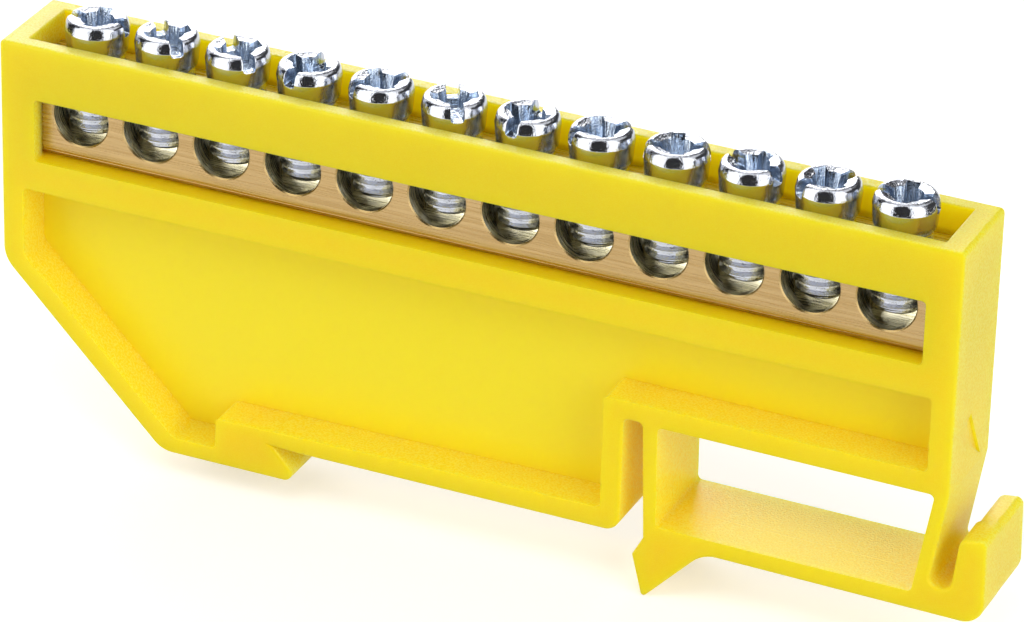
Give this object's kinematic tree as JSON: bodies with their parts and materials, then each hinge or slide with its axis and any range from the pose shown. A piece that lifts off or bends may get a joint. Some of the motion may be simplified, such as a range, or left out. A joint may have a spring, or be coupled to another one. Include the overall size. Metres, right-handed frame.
{
  "type": "earth terminal bar",
  "caption": "Terminal bar for protective earth wires: a cross-drilled brass bar with clamp screws, in a yellow moulded holder that clips onto a 35 mm mounting rail.",
  "frame": {"origin": "on the rail seat, midway between the two edges of the rail and midway through the holder's width", "axes": "+X along the bar towards the release tab, +Y through the width towards the back, +Z away from the rail towards the screw heads"},
  "size_m": [0.0926, 0.0096, 0.0411],
  "materials": {
    "yellow_plastic": "satin moulded polyamide, slightly translucent",
    "brass": "drawn bar, as cut and drilled",
    "zinc_plate": "bright zinc-plated steel"
  },
  "bodies": {
    "holder": {"holder": "yellow_plastic", "brass_bar": "brass"},
    "screw_01_body": {"screw_01": "zinc_plate"},
    "screw_02_body": {"screw_02": "zinc_plate"},
    "screw_03_body": {"screw_03": "zinc_plate"},
    "screw_04_body": {"screw_04": "zinc_plate"},
    "screw_05_body": {"screw_05": "zinc_plate"},
    "screw_06_body": {"screw_06": "zinc_plate"},
    "screw_07_body": {"screw_07": "zinc_plate"},
    "screw_08_body": {"screw_08": "zinc_plate"},
    "screw_09_body": {"screw_09": "zinc_plate"},
    "screw_10_body": {"screw_10": "zinc_plate"},
    "screw_11_body": {"screw_11": "zinc_plate"},
    "screw_12_body": {"screw_12": "zinc_plate"}
  },
  "joints": [
    {"name": "screw_01_travel", "type": "slide", "parent": "holder", "child": "screw_01_body", "axis": [0, 0, 1], "range_m": [-0.0008, 0.0045]},
    {"name": "screw_02_travel", "type": "slide", "parent": "holder", "child": "screw_02_body", "axis": [0, 0, 1], "range_m": [-0.0008, 0.0045]},
    {"name": "screw_03_travel", "type": "slide", "parent": "holder", "child": "screw_03_body", "axis": [0, 0, 1], "range_m": [-0.0008, 0.0045]},
    {"name": "screw_04_travel", "type": "slide", "parent": "holder", "child": "screw_04_body", "axis": [0, 0, 1], "range_m": [-0.0008, 0.0045]},
    {"name": "screw_05_travel", "type": "slide", "parent": "holder", "child": "screw_05_body", "axis": [0, 0, 1], "range_m": [-0.0008, 0.0045]},
    {"name": "screw_06_travel", "type": "slide", "parent": "holder", "child": "screw_06_body", "axis": [0, 0, 1], "range_m": [-0.0008, 0.0045]},
    {"name": "screw_07_travel", "type": "slide", "parent": "holder", "child": "screw_07_body", "axis": [0, 0, 1], "range_m": [-0.0008, 0.0045]},
    {"name": "screw_08_travel", "type": "slide", "parent": "holder", "child": "screw_08_body", "axis": [0, 0, 1], "range_m": [-0.0008, 0.0045]},
    {"name": "screw_09_travel", "type": "slide", "parent": "holder", "child": "screw_09_body", "axis": [0, 0, 1], "range_m": [-0.0008, 0.0045]},
    {"name": "screw_10_travel", "type": "slide", "parent": "holder", "child": "screw_10_body", "axis": [0, 0, 1], "range_m": [-0.0008, 0.0045]},
    {"name": "screw_11_travel", "type": "slide", "parent": "holder", "child": "screw_11_body", "axis": [0, 0, 1], "range_m": [-0.0008, 0.0045]},
    {"name": "screw_12_travel", "type": "slide", "parent": "holder", "child": "screw_12_body", "axis": [0, 0, 1], "range_m": [-0.0008, 0.0045]}
  ]
}
